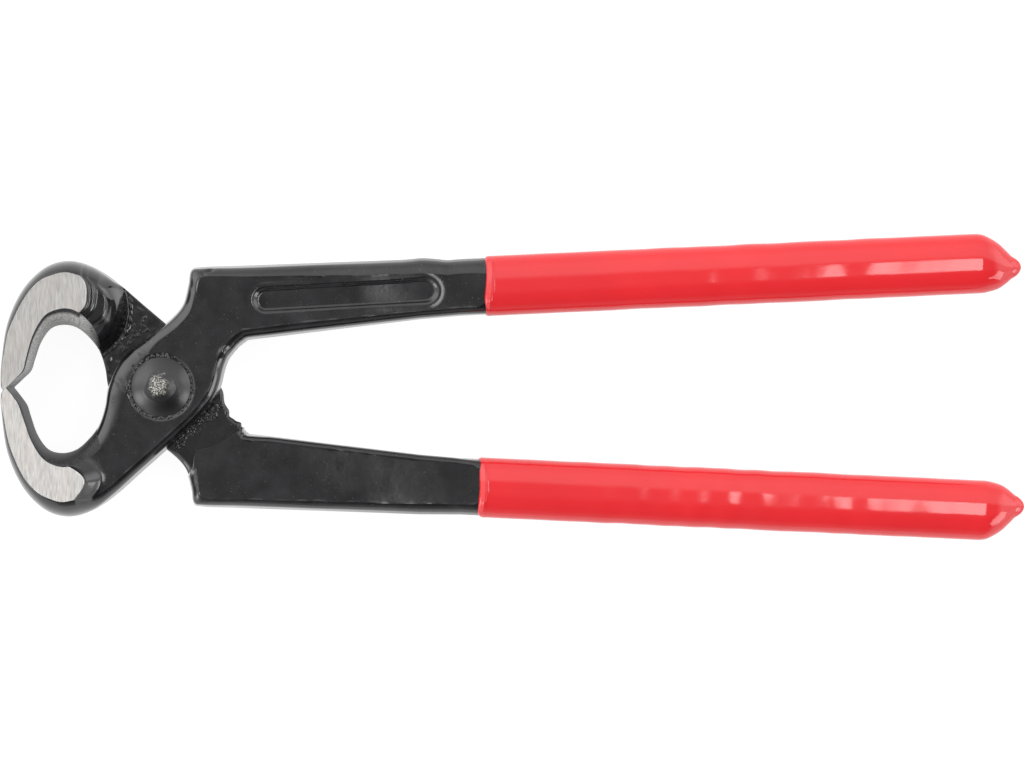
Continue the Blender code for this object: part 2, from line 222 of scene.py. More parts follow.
def waves(x, y, length, seed, count=7):
    """Slow waves of height about 1: a sum of sines of the places along count directions, with
    wavelengths from 0.7 to 1.6 of length. The seed fixes their directions and phases."""
    chance = np.random.default_rng(seed)
    total = np.zeros(np.broadcast(x, y).shape)
    for _ in range(count):
        angle, phase = chance.uniform(0, 2 * math.pi, 2)
        turns = 2 * math.pi / (length * chance.uniform(0.7, 1.6))
        total += np.sin(turns * (x * math.cos(angle) + y * math.sin(angle)) + phase)
    return total / math.sqrt(count)


def skin(name, tubes):
    """A mesh object from tubes[k, i, j]: point j of ring i of tube k. Each tube is a grid
    closed round its rings, with its first and last ring filled."""
    tubes = np.asarray(tubes, float)
    count, rings, around, _ = tubes.shape
    number = np.arange(count * rings * around).reshape(count, rings, around)
    following = np.roll(number, -1, axis=2)
    corners = (number[:, :-1], following[:, :-1], following[:, 1:], number[:, 1:])
    quads = np.stack(corners, axis=-1).reshape(-1, 4)
    caps = [*number[:, 0, ::-1].tolist(), *number[:, -1].tolist()]
    mesh = bpy.data.meshes.new(name)
    mesh.from_pydata(tubes.reshape(-1, 3).tolist(), [], quads.tolist() + caps)
    mesh.shade_smooth()
    obj = bpy.data.objects.new(name, mesh)
    bpy.context.scene.collection.objects.link(obj)
    return obj


def placed(points, flipped):
    """Points round the pivot, brought to their place in the tool."""
    return PIVOT + (points * (1, -1, -1) if flipped else points)


def centreline(x):
    """The handle's middle, as a distance from the closing plane: two straight runs."""
    near = mix(ROOT_OFFSET, KNEE_OFFSET, (x - ROOT_X) / (KNEE_X - ROOT_X))
    far = mix(KNEE_OFFSET, TANG_END_OFFSET, (x - KNEE_X) / (TANG_END_X - KNEE_X))
    return np.where(x < KNEE_X, near, far)


def half_width(x):
    """Half the handle's width: an even taper, then a step down to the tang inside the grip."""
    taper = mix(ROOT_WIDTH, THIN_WIDTH, np.minimum((x - ROOT_X) / (THIN_X - ROOT_X), 1)) / 2
    return mix(taper, TANG_WIDTH / 2, ease(*TANG_STEP, x))


def half_thickness(x):
    """Half the handle's thickness: an even taper up to FLAT_X, then the same step."""
    left = (FLAT_X - x) / (FLAT_X - TAPER_X)
    left = np.minimum((left + np.sqrt(left**2 + 0.03**2)) / 2, 1)  # runs out in a soft crease
    return mix(mix(THIN_HALF, PLATE_TOP, left), TANG_HALF, ease(*TANG_STEP, x))


def edge_point(x, side):
    """A point on the handle's outer edge (side 1) or inner edge (side -1)."""
    return float(x), float(centreline(x) + side * half_width(x))


def between(a, b, share_x, share_y):
    """The point at these shares of the way from a to b."""
    return mix(a[0], b[0], share_x), mix(a[1], b[1], share_y)


HEAD_END = 21  # the outline's last point that belongs to the head
ROOT_BACK_X = ROOT_X - 2.5 * MM
SHOULDER_END_X = SHOULDER_X + 1.5 * SHOULDER_ROUND
RULE_STEP = 4.5 * MM  # along the back edge, from one outline point to the next on the handle


def back_points(belly_cut, lean):
    """The lever's back edge: round the jaw, under the plate and along inside the handles. The
    cutting edge's outer end lies past the closing plane by lean."""
    edge = (-JAW_REACH + EDGE_OUT, lean - EDGE_GAP / 2)
    chamfer = (-JAW_REACH, lean - EDGE_CHAMFER)
    heel = (-JAW_REACH, -BEVEL_LENGTH)
    belly = (-JAW_BACK_X, -JAW_DEPTH + belly_cut)
    plate = (WAIST, -WAIST)
    side = (PLATE_FAR, 0)
    root = edge_point(ROOT_BACK_X, -1)
    turns = (0.4, 0.8, 1.2)
    slope = ((0.185, 0.065), (0.36, 0.22), (0.583, 0.487), (0.78, 0.724), (0.895, 0.866))
    turn_up = ((0.46, 0.35), (0.8, 0.67))
    crotch = ((0.21, 0.48), (0.46, 0.727), (0.675, 0.87), (0.84, 0.95))
    return [
        edge,
        chamfer,
        heel,
        *(between(heel, belly, 1 - math.cos(turn), math.sin(turn)) for turn in turns),
        belly,
        *(between(belly, plate, *share) for share in slope),
        plate,
        *(between(plate, side, *share) for share in turn_up),
        side,
        *(between(side, root, *share) for share in crotch),
        root,
        edge_point(ROOT_BACK_X + RULE_STEP, -1),
        edge_point(ROOT_BACK_X + 2 * RULE_STEP, -1),
    ]


def inner_points(throat_cut, shoulder_cut):
    """The lever's other edge, point for point against back_points: the bevel, the throat,
    the plate's far edge and the shoulder."""
    edge = (-JAW_REACH + EDGE_IN, -EDGE_GAP / 2)
    foot = (-JAW_REACH + JAW_WALL + 0.2 * MM - throat_cut, 1.4 * MM - BEVEL_LENGTH - throat_cut / 2)
    floor = (-THROAT_X - throat_cut / 2, -THROAT_DEPTH - throat_cut)
    near = (-PLATE_NEAR, 0)
    plate = (-WAIST, WAIST)
    shoulder = (SHOULDER_END_X + shoulder_cut / 2, SHOULDER_Y)
    notch = (SHOULDER_X + shoulder_cut, SHOULDER_Y - 2 * SHOULDER_ROUND)
    wall = ((0.1, 0.23), (0.29, 0.62), (0.6, 0.92))
    throat = ((0.303, 0.051), (0.55, 0.19), (0.789, 0.408), (0.927, 0.694))
    climb = ((0.188, 0.139), (0.41, 0.283), (0.685, 0.47), (0.906, 0.705))
    return [
        edge,
        between(edge, foot, 0.54, 0.54),
        foot,
        *(between(foot, floor, *share) for share in wall),
        floor,
        *(between(floor, near, *share) for share in throat),
        near,
        between(near, plate, 0.404, 0.58),
        plate,
        *(between(plate, notch, *share) for share in climb),
        notch,
        between(notch, shoulder, 0.22, 0.83),
        shoulder,
        edge_point(SHOULDER_END_X + 1.6 * RULE_STEP, 1),
        edge_point(SHOULDER_END_X + 3.2 * RULE_STEP, 1),
    ]


def outline(points, t, side):
    """Points of an edge, counted by t: the smooth curve round the head, and past HEAD_END the
    straight handle. There the outer edge starts behind the back edge and draws level."""
    head = smooth_curve(points, np.minimum(t, HEAD_END))
    x = ROOT_BACK_X + RULE_STEP * (t - HEAD_END + 1)
    if side > 0:
        gap = ROOT_BACK_X + RULE_STEP - points[HEAD_END][0]
        behind, at_start = (1 - ease(-0.7, 2.6, past) for past in (t - HEAD_END, 0.0))
        x = x - gap * behind / at_start
    handle = np.stack([x, centreline(x) + side * half_width(x)], axis=-1)
    return np.where((t > HEAD_END)[..., None], handle, head)


# The lever's surface is a grid: rings round the section, one after the other along the lever.
# Each table below has the ring's number r first. Rings are bent so that some lie exactly along
# the ends of the ground sides (r = GROUND_END) and along the borders of the lap's recess.
GROUND_END = 6.5
THROAT_END = 8.2  # the milled wall of the throat
LAP_NEAR = 8.4
LAP_FAR = 18.0

# Where each ring meets the outlines: back edge on top, inner edge on top, then both below
MEETS = (
    (0, 0, 0, 0, 0),
    (2, 2, 2, 2, 2),
    (5, 5, 5, 5, 5.3),
    (6, 5.9, 6.0, 6.05, 6.5),
    (GROUND_END, 6.45, 6.5, 6.6, 7.35),
    (7.1, 7.1, 7.5, 7.15, 8.0),
    (7.64, 7.6, 8.1, 7.65, 8.55),
    (LAP_NEAR, 8.4, 9.0, 8.35, 9.3),
    (9.2, 9.2, 9.8, 9.3, 10.0),
    (13, 13, 13.2, 13, 13.2),
    (17, 17, 17, 17, 16.2),
    (LAP_FAR, 18, 17.9, 18, 17.1),
    (18.35, 18.35, 18.25, 18.4, 17.6),
    (20, 20, 20, 20, 20),
    (21, 21, 21, 21, 21),
)

# How far a ring is bent towards the handles (mm), where (share of the way across) and how
# squarely (1 a corner, 2 a bow, 4 nearly a box): on top, then below
BENDS_TOP = (
    (5, 0.0, 0.5, 2.0),
    (5.7, 1.2, 0.5, 2.0),
    (GROUND_END, 3.2, 0.52, 1.7),
    (7.1, 3.2, 0.5, 1.8),
    (LAP_NEAR, 1.8, 0.5, 2.0),
    (11, 0.0, 0.5, 2.0),
)
BENDS_BELOW = (
    (5, 0.0, 0.5, 2.0),
    (5.7, 0.6, 0.5, 2.4),
    (GROUND_END, 1.7, 0.5, 3.0),
    (7.1, 2.4, 0.5, 2.6),
    (7.64, 2.9, 0.5, 2.4),
    (LAP_NEAR, 3.0, 0.5, 2.0),
    (11, 0.0, 0.5, 2.0),
    (14, -0.2, 0.76, 1.4),
    (17, -2.0, 0.76, 1.3),
    (LAP_FAR, -2.7, 0.76, 1.2),
    (18.35, -2.6, 0.76, 1.2),
    (20, -0.6, 0.7, 1.6),
    (22, 0.0, 0.7, 2.0),
)

# Height of the top and of the underside (mm)
TOP = (
    (0, 12.0), (GROUND_END, 12.0), (6.58, 11.55), (6.9, 9.9), (7.12, 8.95), (7.25, 8.7),
    (7.7, 8.45), (8.6, 8.2), (9.2, 8.15), (23, 8.15),
)
BELOW = (
    (0, -12.0), (GROUND_END, -12.0), (6.56, -11.6), (6.62, -11.35), (6.8, -11.2), (6.88, -10.9),
    (6.95, -10.75), (7.36, -10.5), (7.48, -10.0), (7.6, -9.3), (7.7, -8.8), (7.9, -7.5),
    (8.1, -5.0), (8.3, -1.5), (8.4, 0.0), (8.46, 0.15), (LAP_FAR, 0.15), (18.01, 0.0),
    (18.03, -1.5), (18.055, -6.5), (18.07, -7.9), (18.09, -8.15), (23, -8.15),
)

# Rounding of the edges (mm in from the outline, mm down from the face) and how far round it
# turns (degrees): the back edge on top, then the inner edge on top
ROUNDS_TOP = (
    (0, 0.15, 0.15, 85, 0.15, 0.15, 85),
    (1, 0.15, 0.5, 80, 0.2, 0.6, 85),
    (2, 0.3, 3.0, 78, 0.4, 3.0, 80),
    (3, 2.0, 7.0, 76, 0.6, 5.0, 80),
    (4, 2.8, 9.0, 76, 1.1, 7.0, 80),
    (5, 3.4, 9.5, 76, 2.1, 9.0, 80),
    (GROUND_END, 3.7, 9.5, 76, 3.2, 9.0, 80),
    (7.1, 2.8, 6.0, 76, 3.3, 6.0, 82),
    (7.7, 2.0, 3.4, 70, 3.6, 3.8, 84),
    (LAP_NEAR, 1.6, 2.4, 62, 3.9, 2.6, 86),
    (9.2, 1.5, 2.2, 60, 4.3, 2.2, 88),
    (11, 1.5, 2.2, 60, 4.4, 2.2, 88),
    (13, 1.6, 2.2, 60, 3.8, 2.2, 78),
    (15, 1.8, 2.2, 60, 2.0, 2.2, 60),
    (17, 1.9, 2.4, 60, 2.0, 2.3, 61),
    (19.3, 1.8, 2.6, 58, 2.4, 2.4, 62),
    (20, 1.8, 2.6, 58, 2.0, 2.3, 62),
    (27, 1.5, 2.4, 56, 2.5, 2.4, 80),
    (31, 1.3, 2.2, 55, 2.6, 2.4, 82),
    (32.3, 1.3, 2.2, 56, 2.6, 2.4, 82),
    (33.0, 2.6, 2.7, 80, 2.8, 2.8, 85),
    (60, 3.4, 3.4, 90, 3.4, 3.4, 90),
)
ROUNDS_BELOW = (
    (0, 0.15, 0.15, 85, 0.15, 0.15, 85),
    (1, 0.15, 0.5, 80, 0.2, 0.6, 85),
    (2, 0.3, 3.0, 78, 0.4, 3.0, 80),
    (3, 1.6, 7.0, 76, 0.9, 5.0, 80),
    (4, 2.4, 9.0, 76, 1.8, 7.0, 80),
    (5, 2.7, 9.5, 76, 3.0, 9.0, 80),
    (GROUND_END, 3.0, 9.0, 76, 3.9, 8.5, 80),
    (7.1, 3.0, 7.5, 78, 3.5, 7.0, 80),
    (7.7, 2.6, 5.0, 80, 2.6, 5.0, 80),
    (8.1, 1.2, 1.6, 80, 1.4, 1.8, 80),
    (8.5, 0.35, 0.3, 70, 0.4, 0.3, 70),
    (13.8, 0.35, 0.3, 70, 0.4, 0.3, 70),
    (15.6, 1.0, 0.9, 62, 0.4, 0.3, 70),
    (17.0, 1.0, 0.9, 62, 1.3, 1.3, 66),
    (17.9, 1.0, 0.9, 60, 1.5, 1.5, 66),
    (18.25, 0.9, 1.3, 58, 2.0, 2.4, 66),
    (19.4, 1.0, 1.5, 58, 2.0, 2.4, 66),
    (20.2, 1.0, 1.6, 58, 1.4, 2.2, 60),
    (31, 1.0, 1.4, 62, 1.5, 2.2, 60),
    (32.1, 1.0, 1.4, 63, 1.5, 2.2, 61),
    (32.8, 2.6, 2.7, 80, 2.8, 2.8, 85),
    (60, 3.4, 3.4, 90, 3.4, 3.4, 90),
)

# Rings from one number to the next, and how many
RINGS = (
    (0.0, 2.0, 20), (2.0, GROUND_END, 90), (GROUND_END, 8.6, 95), (8.6, 17.8, 104),
    (17.8, 17.98, 12), (17.98, 18.12, 34), (18.12, 18.3, 14), (18.3, HEAD_END, 46),
    (HEAD_END, 24.0, 50), (24.0, 34.0, 90),
)
FACE_POINTS = 54
EDGE_SHARES = (0, 0.006, 0.012, 0.019, 0.027, 0.037, 0.05)  # columns beside a face's border
CORNER_POINTS = 11
WALL_POINTS = 6

SLOT_START_X = 22.5 * MM
SLOT_LENGTH = 45.0 * MM
SLOT_WIDTH = 6.1 * MM
SLOT_START_Y, SLOT_END_Y = 21.2 * MM, 23.5 * MM  # its middle, at the two ends
SLOT_SIDE = 0.85 * MM  # width of the slot's sloping sides
HEAD_RADIUS = 7.2 * MM
TAIL_RADIUS = 6.9 * MM
SHANK_RADIUS = 4.5 * MM
SEAT_RADIUS = 8.1 * MM
SEAT_PLAY = 0.05 * MM  # between the pressed ring and the rivet's head
LIP_WALL = 0.3 * MM  # where the dipped vinyl ends
OGIVE_LENGTH = 12.3 * MM
# A grip's end: share of the way to the tip, and share of the full size
OGIVE = (
    (0.0, 1.0), (0.1, 0.997), (0.2, 0.982), (0.36, 0.9), (0.54, 0.758), (0.655, 0.61),
    (0.744, 0.475), (0.8, 0.385), (0.893, 0.285), (0.952, 0.19), (0.985, 0.095), (1.0, 0.012),
)


def ring_numbers():
    """The numbers of all rings up to the grip's mouth, then those of the hidden tang."""
    rows = [np.linspace(low, high, count, endpoint=False) for low, high, count in RINGS]
    tang = HEAD_END + (TANG_END_X - TANG_END_ROUND - ROOT_BACK_X) / RULE_STEP - 1
    return np.concatenate([*rows, np.linspace(RINGS[-1][1], tang, 16)])


def bent(share, r, bends):
    """How far a point at this share of the way across a ring is pushed along the lever: the
    bend, times 1 less a power of twice the distance from the middle, warped to its place."""
    bend, place, power = (column[:, None] for column in through(bends, r))
    warped = share[None, :] ** (math.log(0.5) / np.log(place))
    return bend * MM * (1 - np.abs(2 * warped - 1) ** power)


def slot_depth(x, y, depth):
    """The long slot: a floor within an even distance of a straight line, with sloping sides
    and a faint raised rim, which is higher at the slot's two ends."""
    first = np.array([SLOT_START_X + SLOT_WIDTH / 2, SLOT_START_Y])
    along = np.array([SLOT_START_X + SLOT_LENGTH - SLOT_WIDTH / 2, SLOT_END_Y]) - first
    share = np.clip(((x - first[0]) * along[0] + (y - first[1]) * along[1]) / (along @ along), 0, 1)
    away = np.hypot(x - first[0] - share * along[0], y - first[1] - share * along[1])
    inside = SLOT_WIDTH / 2 - away
    ends = ease(0.3, 0.0, share) + ease(0.7, 1.0, share)
    rim = (0.04 + 0.045 * ends) * MM * ridge(inside, -0.6 * MM, 0.6 * MM)
    return rim - depth * ease(-0.1 * MM, SLOT_SIDE, inside)


def seat_depth(x, y, depth):
    """The ring pressed by the rivet's head: a step down at SEAT_RADIUS with a raised, lumpy
    lip, higher towards the jaws, where the blow leaned."""
    away = np.hypot(x, y)
    lumps = np.clip(0.6 + waves(x, y, 4 * MM, 9), 0, 2) * mix(0.35, 1.3, ease(1 * MM, -6 * MM, x))
    lip = 0.08 * MM * lumps * ridge(away, SEAT_RADIUS + 0.2 * MM, 0.25 * MM)
    return lip - depth * (1 - ease(SEAT_RADIUS - 0.4 * MM, SEAT_RADIUS + 0.1 * MM, away))


def raised(places, height):
    """Flat places with their heights as a third coordinate."""
    return np.concatenate([places, height[..., None]], axis=-1)


def lever_surface(sizes, dressing):
    """The forging as a grid of points round the pivot, ring by ring, and the first rings past
    the ground sides and past the throat's milled wall.

    Ring r runs down the back wall, across the underside, up the inner wall and back across
    the top. The faces are straight lines between the two walls, bent by bent(), at the
    heights of TOP and BELOW. A wall is the outline, drawn in near each face by a part of an
    ellipse.
    """
    r = ring_numbers()
    belly_cut, throat_cut, shoulder_cut, burr, lean, back_draft = dressing
    back, inner = back_points(belly_cut, lean), inner_points(throat_cut, shoulder_cut)
    forged_wall = DRAFT * mix(0.2, 1.0, ease(GROUND_END, 8.5, r))[:, None]
    handle = ease(19, 21.5, r)[:, None]  # from 0 on the head to 1 on the handle
    inside_draft = forged_wall * mix(1, back_draft, handle * (1 - ease(31, 32.5, r)[:, None]))
    outer_draft = mix(OUTER_DRAFT_ROOT, OUTER_DRAFT_GRIP, ease(22, 32, r))[:, None]
    drafts = {-1: inside_draft, 1: mix(forged_wall, outer_draft, handle)}
    top_back, top_inner, low_back, low_inner = through(MEETS, r) + np.maximum(r - HEAD_END, 0)

    # Every wall point's share of the way down, from the top corner to the lower one
    corner = np.linspace(1, 0, CORNER_POINTS)
    middle = np.linspace(0, 1, WALL_POINTS + 2)[1:-1]
    fall = np.concatenate([0.35 * (1 - corner), 0.35 + 0.3 * middle, 0.65 + 0.35 * (1 - corner)])

    def across(t_back, t_inner):
        a, b = outline(back, t_back, -1), outline(inner, t_inner, 1)
        way = b - a
        return a, b, way / np.linalg.norm(way, axis=-1, keepdims=True)

    rounds = through(ROUNDS_TOP, r), through(ROUNDS_BELOW, r)
    wobble = 0.18 * waves(r * MM, 0 * r, 1.1 * MM, 7)  # the grinder's hand
    wobble = wobble * ease(0.5, 2.0, r) * (1 - ease(GROUND_END, 7.5, r))
    for cuts in rounds:
        cuts[0] += wobble
        cuts[3] += 0.8 * wobble[::-1]

    def face(t_back, t_inner, cuts, bends, heights, top):
        """One face with both its corners."""
        a, b, way = across(t_back, t_inner)
        inside = np.linspace(0.07, 0.93, FACE_POINTS - 2 * len(EDGE_SHARES))
        share = np.concatenate([EDGE_SHARES, inside, 1 - np.array(EDGE_SHARES)[::-1]])
        along = np.stack([way[:, 1], -way[:, 0]], axis=-1)
        push = along[:, None] * bent(share, r, bends)[..., None]
        level = through(heights, r)[0][:, None] * MM
        height = level + 0 * share[None]
        for _ in range(2):  # the second time with the draft at the height found
            first = a + way * (cuts[0][:, None] * MM + drafts[-1] * np.abs(height[:, :1]))
            last = b - way * (cuts[3][:, None] * MM + drafts[1] * np.abs(height[:, -1:]))
            places = mix(first[:, None], last[:, None], share[None, :, None]) + push
            height = face_height(places, level, top)
            span = np.linalg.norm(last - first, axis=-1)[:, None]
            from_border = np.minimum(share, 1 - share)[None] * span
            uneven = np.clip(0.9 + 0.5 * waves(places[..., 0], places[..., 1], 5 * MM, 15), 0.2, 2)
            fat = 0.05 * MM * uneven * ridge(from_border, 0, 0.4 * MM)  # the lacquer's fat edge
            height = height + (1 if top else -1) * fat * ease(7.0, 9.0, r)[:, None]
        return raised(places, height)

    def face_height(places, level, top):
        """Heights of a face's points: the level, the taper and the marks."""
        x, y = places[..., 0], places[..., 1]
        taper = PLATE_TOP - half_thickness(x)
        if top:
            height = level - taper + slot_depth(x, y, sizes.slot_depth) * (x > 15 * MM)
            height = height + seat_depth(x, y, sizes.seat_depth)
        else:
            height = level + taper * ease(-LAP_FLOOR, PLATE_TOP, -level)
            scaly = ease(LAP_NEAR, 8.7, r) * (1 - ease(17.7, LAP_FAR, r))
            scaly = scaly * mix(0.08, 0.012, ease(9.5, 14, r)) * MM
            height = height + scaly[:, None] * waves(x, y, 2.2 * MM, 6)
            lip = np.clip(0.8 + 0.6 * waves(x, y, 1.6 * MM, 8), 0, 1.6)  # of lacquer, at the seam
            height = height - 0.17 * MM * ridge(r, 8.53, 0.06)[:, None] * lip
        forged = ease(GROUND_END, 7.6, r)[:, None]
        return height + forged * sizes.waviness * waves(x, y, 17 * MM, 3 if top else 4)

    top = face(top_back, top_inner, rounds[0], BENDS_TOP, TOP, True)
    low = face(low_back, low_inner, rounds[1], BENDS_BELOW, BELOW, False)
    top_way, low_way = across(top_back, top_inner)[2], across(low_back, low_inner)[2]
    way = mix(top_way[:, None], low_way[:, None], fall[None, :, None])
    way /= np.linalg.norm(way, axis=-1, keepdims=True)

    def wall(points, side, column, cut, t_top, t_low):
        """A wall from the top corner to the lower one."""
        t = mix(t_top[:, None], t_low[:, None], fall[None, :])
        z_top, z_low = top[:, column, 2], low[:, column, 2]
        room = (z_top - z_low) / 2
        ends = []
        for cuts, z, down in ((rounds[0], z_top, -1), (rounds[1], z_low, 1)):
            inset, depth, turn = (value[:, None] for value in cuts[cut : cut + 3])
            depth = np.minimum(depth * MM, 0.98 * room[:, None])
            turn = np.radians(turn)
            angle = turn * corner[None, :]
            drawn = inset * MM * (1 - np.cos(angle)) / (1 - np.cos(turn))
            height = z[:, None] + down * depth * (1 - np.sin(angle) / np.sin(turn))
            ends.append((drawn, height))
        (drawn_top, z_upper), (drawn_low, z_lower) = ends
        straight = mix(z_upper[:, -1:], z_lower[:, -1:], middle[None, :])
        drawn = np.concatenate([drawn_top, straight * 0, drawn_low[:, ::-1]], axis=1)
        height = np.concatenate([z_upper, straight, z_lower[:, ::-1]], axis=1)
        drawn = drawn + drafts[side] * np.abs(height)
        rough = burr * waves(t * MM, 0.15 * fall * MM, 0.6 * MM, 5 + side)
        rough = rough * ease(13.0, 14.5, t) * (1 - ease(19.0, 20.5, t)) * (side < 0)
        return raised(outline(points, t, side) - side * way * (drawn - rough)[..., None], height)

    back_wall = wall(back, -1, 0, 0, top_back, low_back)
    inner_wall = wall(inner, 1, -1, 3, top_inner, low_inner)
    rings = [back_wall, low[:, 1:-1], inner_wall[:, ::-1], top[:, -2:0:-1]]
    grid = np.concatenate(rings, axis=1)
    borders = np.searchsorted(r, (GROUND_END, THROAT_END)).tolist()
    return np.concatenate([grid, tang_end(grid[-1])]), borders


def tang_end(ring):
    """The tang's rounded end: the last ring, shrunk about its middle along a quarter circle."""
    middle = ring.mean(axis=0)
    angles = np.linspace(0, math.pi / 2, 6)[1:]
    shrink = 1 - TANG_END_ROUND * (1 - np.cos(angles)) / (6 * MM)  # about half the width
    rings = middle + (ring - middle)[None] * shrink[:, None, None]
    rings[..., 0] += (TANG_END_ROUND * np.sin(angles))[:, None]
    return rings


def paint(obj, borders, materials):
    """Lacquer everywhere, bare steel on the sides of the jaw up to the first border and the
    milled finish on the throat's wall up to the second."""
    for made in materials:
        obj.data.materials.append(made)
    wall = 2 * CORNER_POINTS + WALL_POINTS
    around = 2 * (wall + FACE_POINTS - 2)
    index = np.zeros(len(obj.data.polygons), np.int32)
    place = np.arange(len(index))
    ring, step = place // around, place % around
    low = (step >= wall - 1) & (step < wall + FACE_POINTS - 2)
    top = step >= 2 * wall + FACE_POINTS - 3
    throat = (step >= wall + FACE_POINTS - 2) & ~top
    index[(ring < borders[0]) & (low | top)] = 1
    index[(ring < borders[1]) & throat] = 2
    obj.data.polygons.foreach_set("material_index", index)


def chance_marks(points):
    """Marks that only the upper lever has: a nick and a dint in its shoulder, a swell and a
    dip in its outer edge, and a lump of lacquer at the root of the handle."""
    x, y, z = np.moveaxis(points, -1, 0)
    from_x, from_y = x - 11.9 * MM, y - 28.4 * MM
    way_x, way_y = 0.874, 0.485  # the nick's direction, 29 degrees from the tool's length
    along, aside = from_x * way_x + from_y * way_y, from_y * way_x - from_x * way_y
    nick = 0.6 * ridge(along, 0, 1.0 * MM) * ridge(aside, 0, 0.25 * MM)
    nick = (nick + 0.35 * hill(x, y, (10.4, 27.6), 0.35)) * MM * (z > 3 * MM)
    outer = ease(0, 4 * MM, y - centreline(x)) * (x > 40 * MM)
    swell = 0.28 * ridge(x, 63.9 * MM, 3 * MM) - 0.22 * ridge(x, 70 * MM, 2 * MM)
    lump = 0.45 * MM * hill(x, y, (15.4, 8.2), 1.0) * (z > 2 * MM)
    points[..., 1] += outer * swell * MM - 0.6 * nick
    points[..., 2] += lump - nick
    return points


def flash_marks(points):
    """The mark that only the lower lever has: a ragged flash of steel that overhangs the
    handle's root."""
    x, y, z = np.moveaxis(points, -1, 0)
    flash = hill(x, y, (18.9, 9.6), 1.7) + 0.3 * hill(x, y, (16.2, 6.2), 0.8)
    flash = flash * mix(0.25, 1.0, ease(4 * MM, -5 * MM, z))
    points[..., 0] += 1.5 * MM * flash
    points[..., 1] -= 0.5 * MM * flash
    return points


def lever(name, body, node, flipped, dressing, context):
    """A lever's forging with its own marks and its three finishes."""
    points, borders = lever_surface(context.scene.pincers_sizes, dressing)
    points = flash_marks(points) if flipped else chance_marks(points)
    obj = skin(name, placed(points, flipped)[None])
    finishes = (black_lacquer, ground_steel, milled_throat)
    paint(obj, borders, [material(context, finish) for finish in finishes])
    obj.data.set_sharp_from_angle(angle=48 * DEGREE)
    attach(obj, body)
    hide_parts(node)


def grip_surface(sizes, seed, mouth_shift, tip_shift):
    """A dipped grip as a grid of points round the pivot.

    Along the tang it is a rounded box's section, a power curve of the angle. Its size follows
    a profile: the thin lip, the even sleeve, the ogive end and the drip.
    """
    wall = sizes.grip_wall
    mouth, tip = TANG_X + mouth_shift, GRIP_HIGH[0] + tip_shift
    swell = tip - OGIVE_LENGTH
    lip_rows = mouth + np.linspace(0, 3 * MM, 18)
    end = swell + OGIVE_LENGTH * np.sin(np.linspace(0, math.pi / 2, 60)[1:])
    body = np.linspace(mouth + 3.3 * MM, swell, 300)
    x = np.concatenate([np.full(3, mouth), lip_rows, body, end])
    share = (x - swell) / OGIVE_LENGTH
    size = through(OGIVE, np.maximum(share, 0))[0]
    rise = np.clip((x - mouth) / (1.2 * MM), 0, 1)
    bead = 0.26 * MM * ridge(x, mouth + 1.5 * MM, 0.38 * MM)
    thick = mix(LIP_WALL, wall, np.sqrt(rise * (2 - rise))) + bead
    thick[:3] = (-0.35 * MM, -0.1 * MM, 0.15 * MM)  # the lip's end closes inside the tang
    wide = (TANG_WIDTH / 2 + thick - 0.9 * bead) * size
    tall = (TANG_HALF + thick) * size
    angle = np.linspace(0, 2 * math.pi, 121)[:-1]
    power = mix(0.84, 1.0, ease(0.1, 0.7, share))[:, None]
    cosine, sine = np.cos(angle)[None], np.sin(angle)[None]
    y = np.sign(cosine) * np.abs(cosine) ** power * wide[:, None]
    z = np.sign(sine) * np.abs(sine) ** power * tall[:, None]
    held = ease(mouth, mouth + 50 * MM, x) * (1 - 0.75 * ease(swell - 32 * MM, swell - 16 * MM, x))
    dent = sizes.grip_dents * held[:, None] * waves(x[:, None] + 0 * y, 0.25 * y, 9 * MM, seed)
    grow = 1 + dent * size[:, None] / np.hypot(y, z)
    uneven = waves(2 * MM * np.cos(angle), 2 * MM * np.sin(angle), 5 * MM, seed + 1)[None]
    lead = 0.3 * MM * uneven * (1 - ease(mouth, mouth + 12 * MM, x))[:, None]
    drop = -1.4 * MM * ease(0.05, 0.9, share)
    middle = (centreline(x) + drop)[:, None]
    return np.stack([x[:, None] + lead, y * grow + middle, z * grow], axis=-1)


def grip(name, body, node, flipped, seed, shifts, context):
    """A dipped grip, with how far its mouth and its tip are shifted along the tool."""
    points = grip_surface(context.scene.pincers_sizes, seed, *shifts)
    obj = skin(name, placed(points, flipped)[None])
    obj.data.materials.append(material(context, red_vinyl))
    obj.data.set_sharp_from_angle(angle=60 * DEGREE)
    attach(obj, body)
    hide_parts(node)


def turned(profile, around):
    """A grid round Z from profile points (radius, height)."""
    profile = np.asarray(profile)
    angle = np.linspace(0, 2 * math.pi, around + 1)[:-1]
    x = profile[:, :1] * np.cos(angle)
    y = profile[:, :1] * np.sin(angle)
    return np.stack([x, y, profile[:, 1:] + 0 * x], axis=-1)


SPOT = np.array([-0.5, 0.4]) * MM
SPOT_RADIUS = 2.75 * MM
CRATER_RADIUS = 3.8 * MM


def seat_height(sizes):
    """Where a rivet head's rim lies, from the tool's middle plane."""
    return PLATE_TOP - sizes.seat_depth + SEAT_PLAY


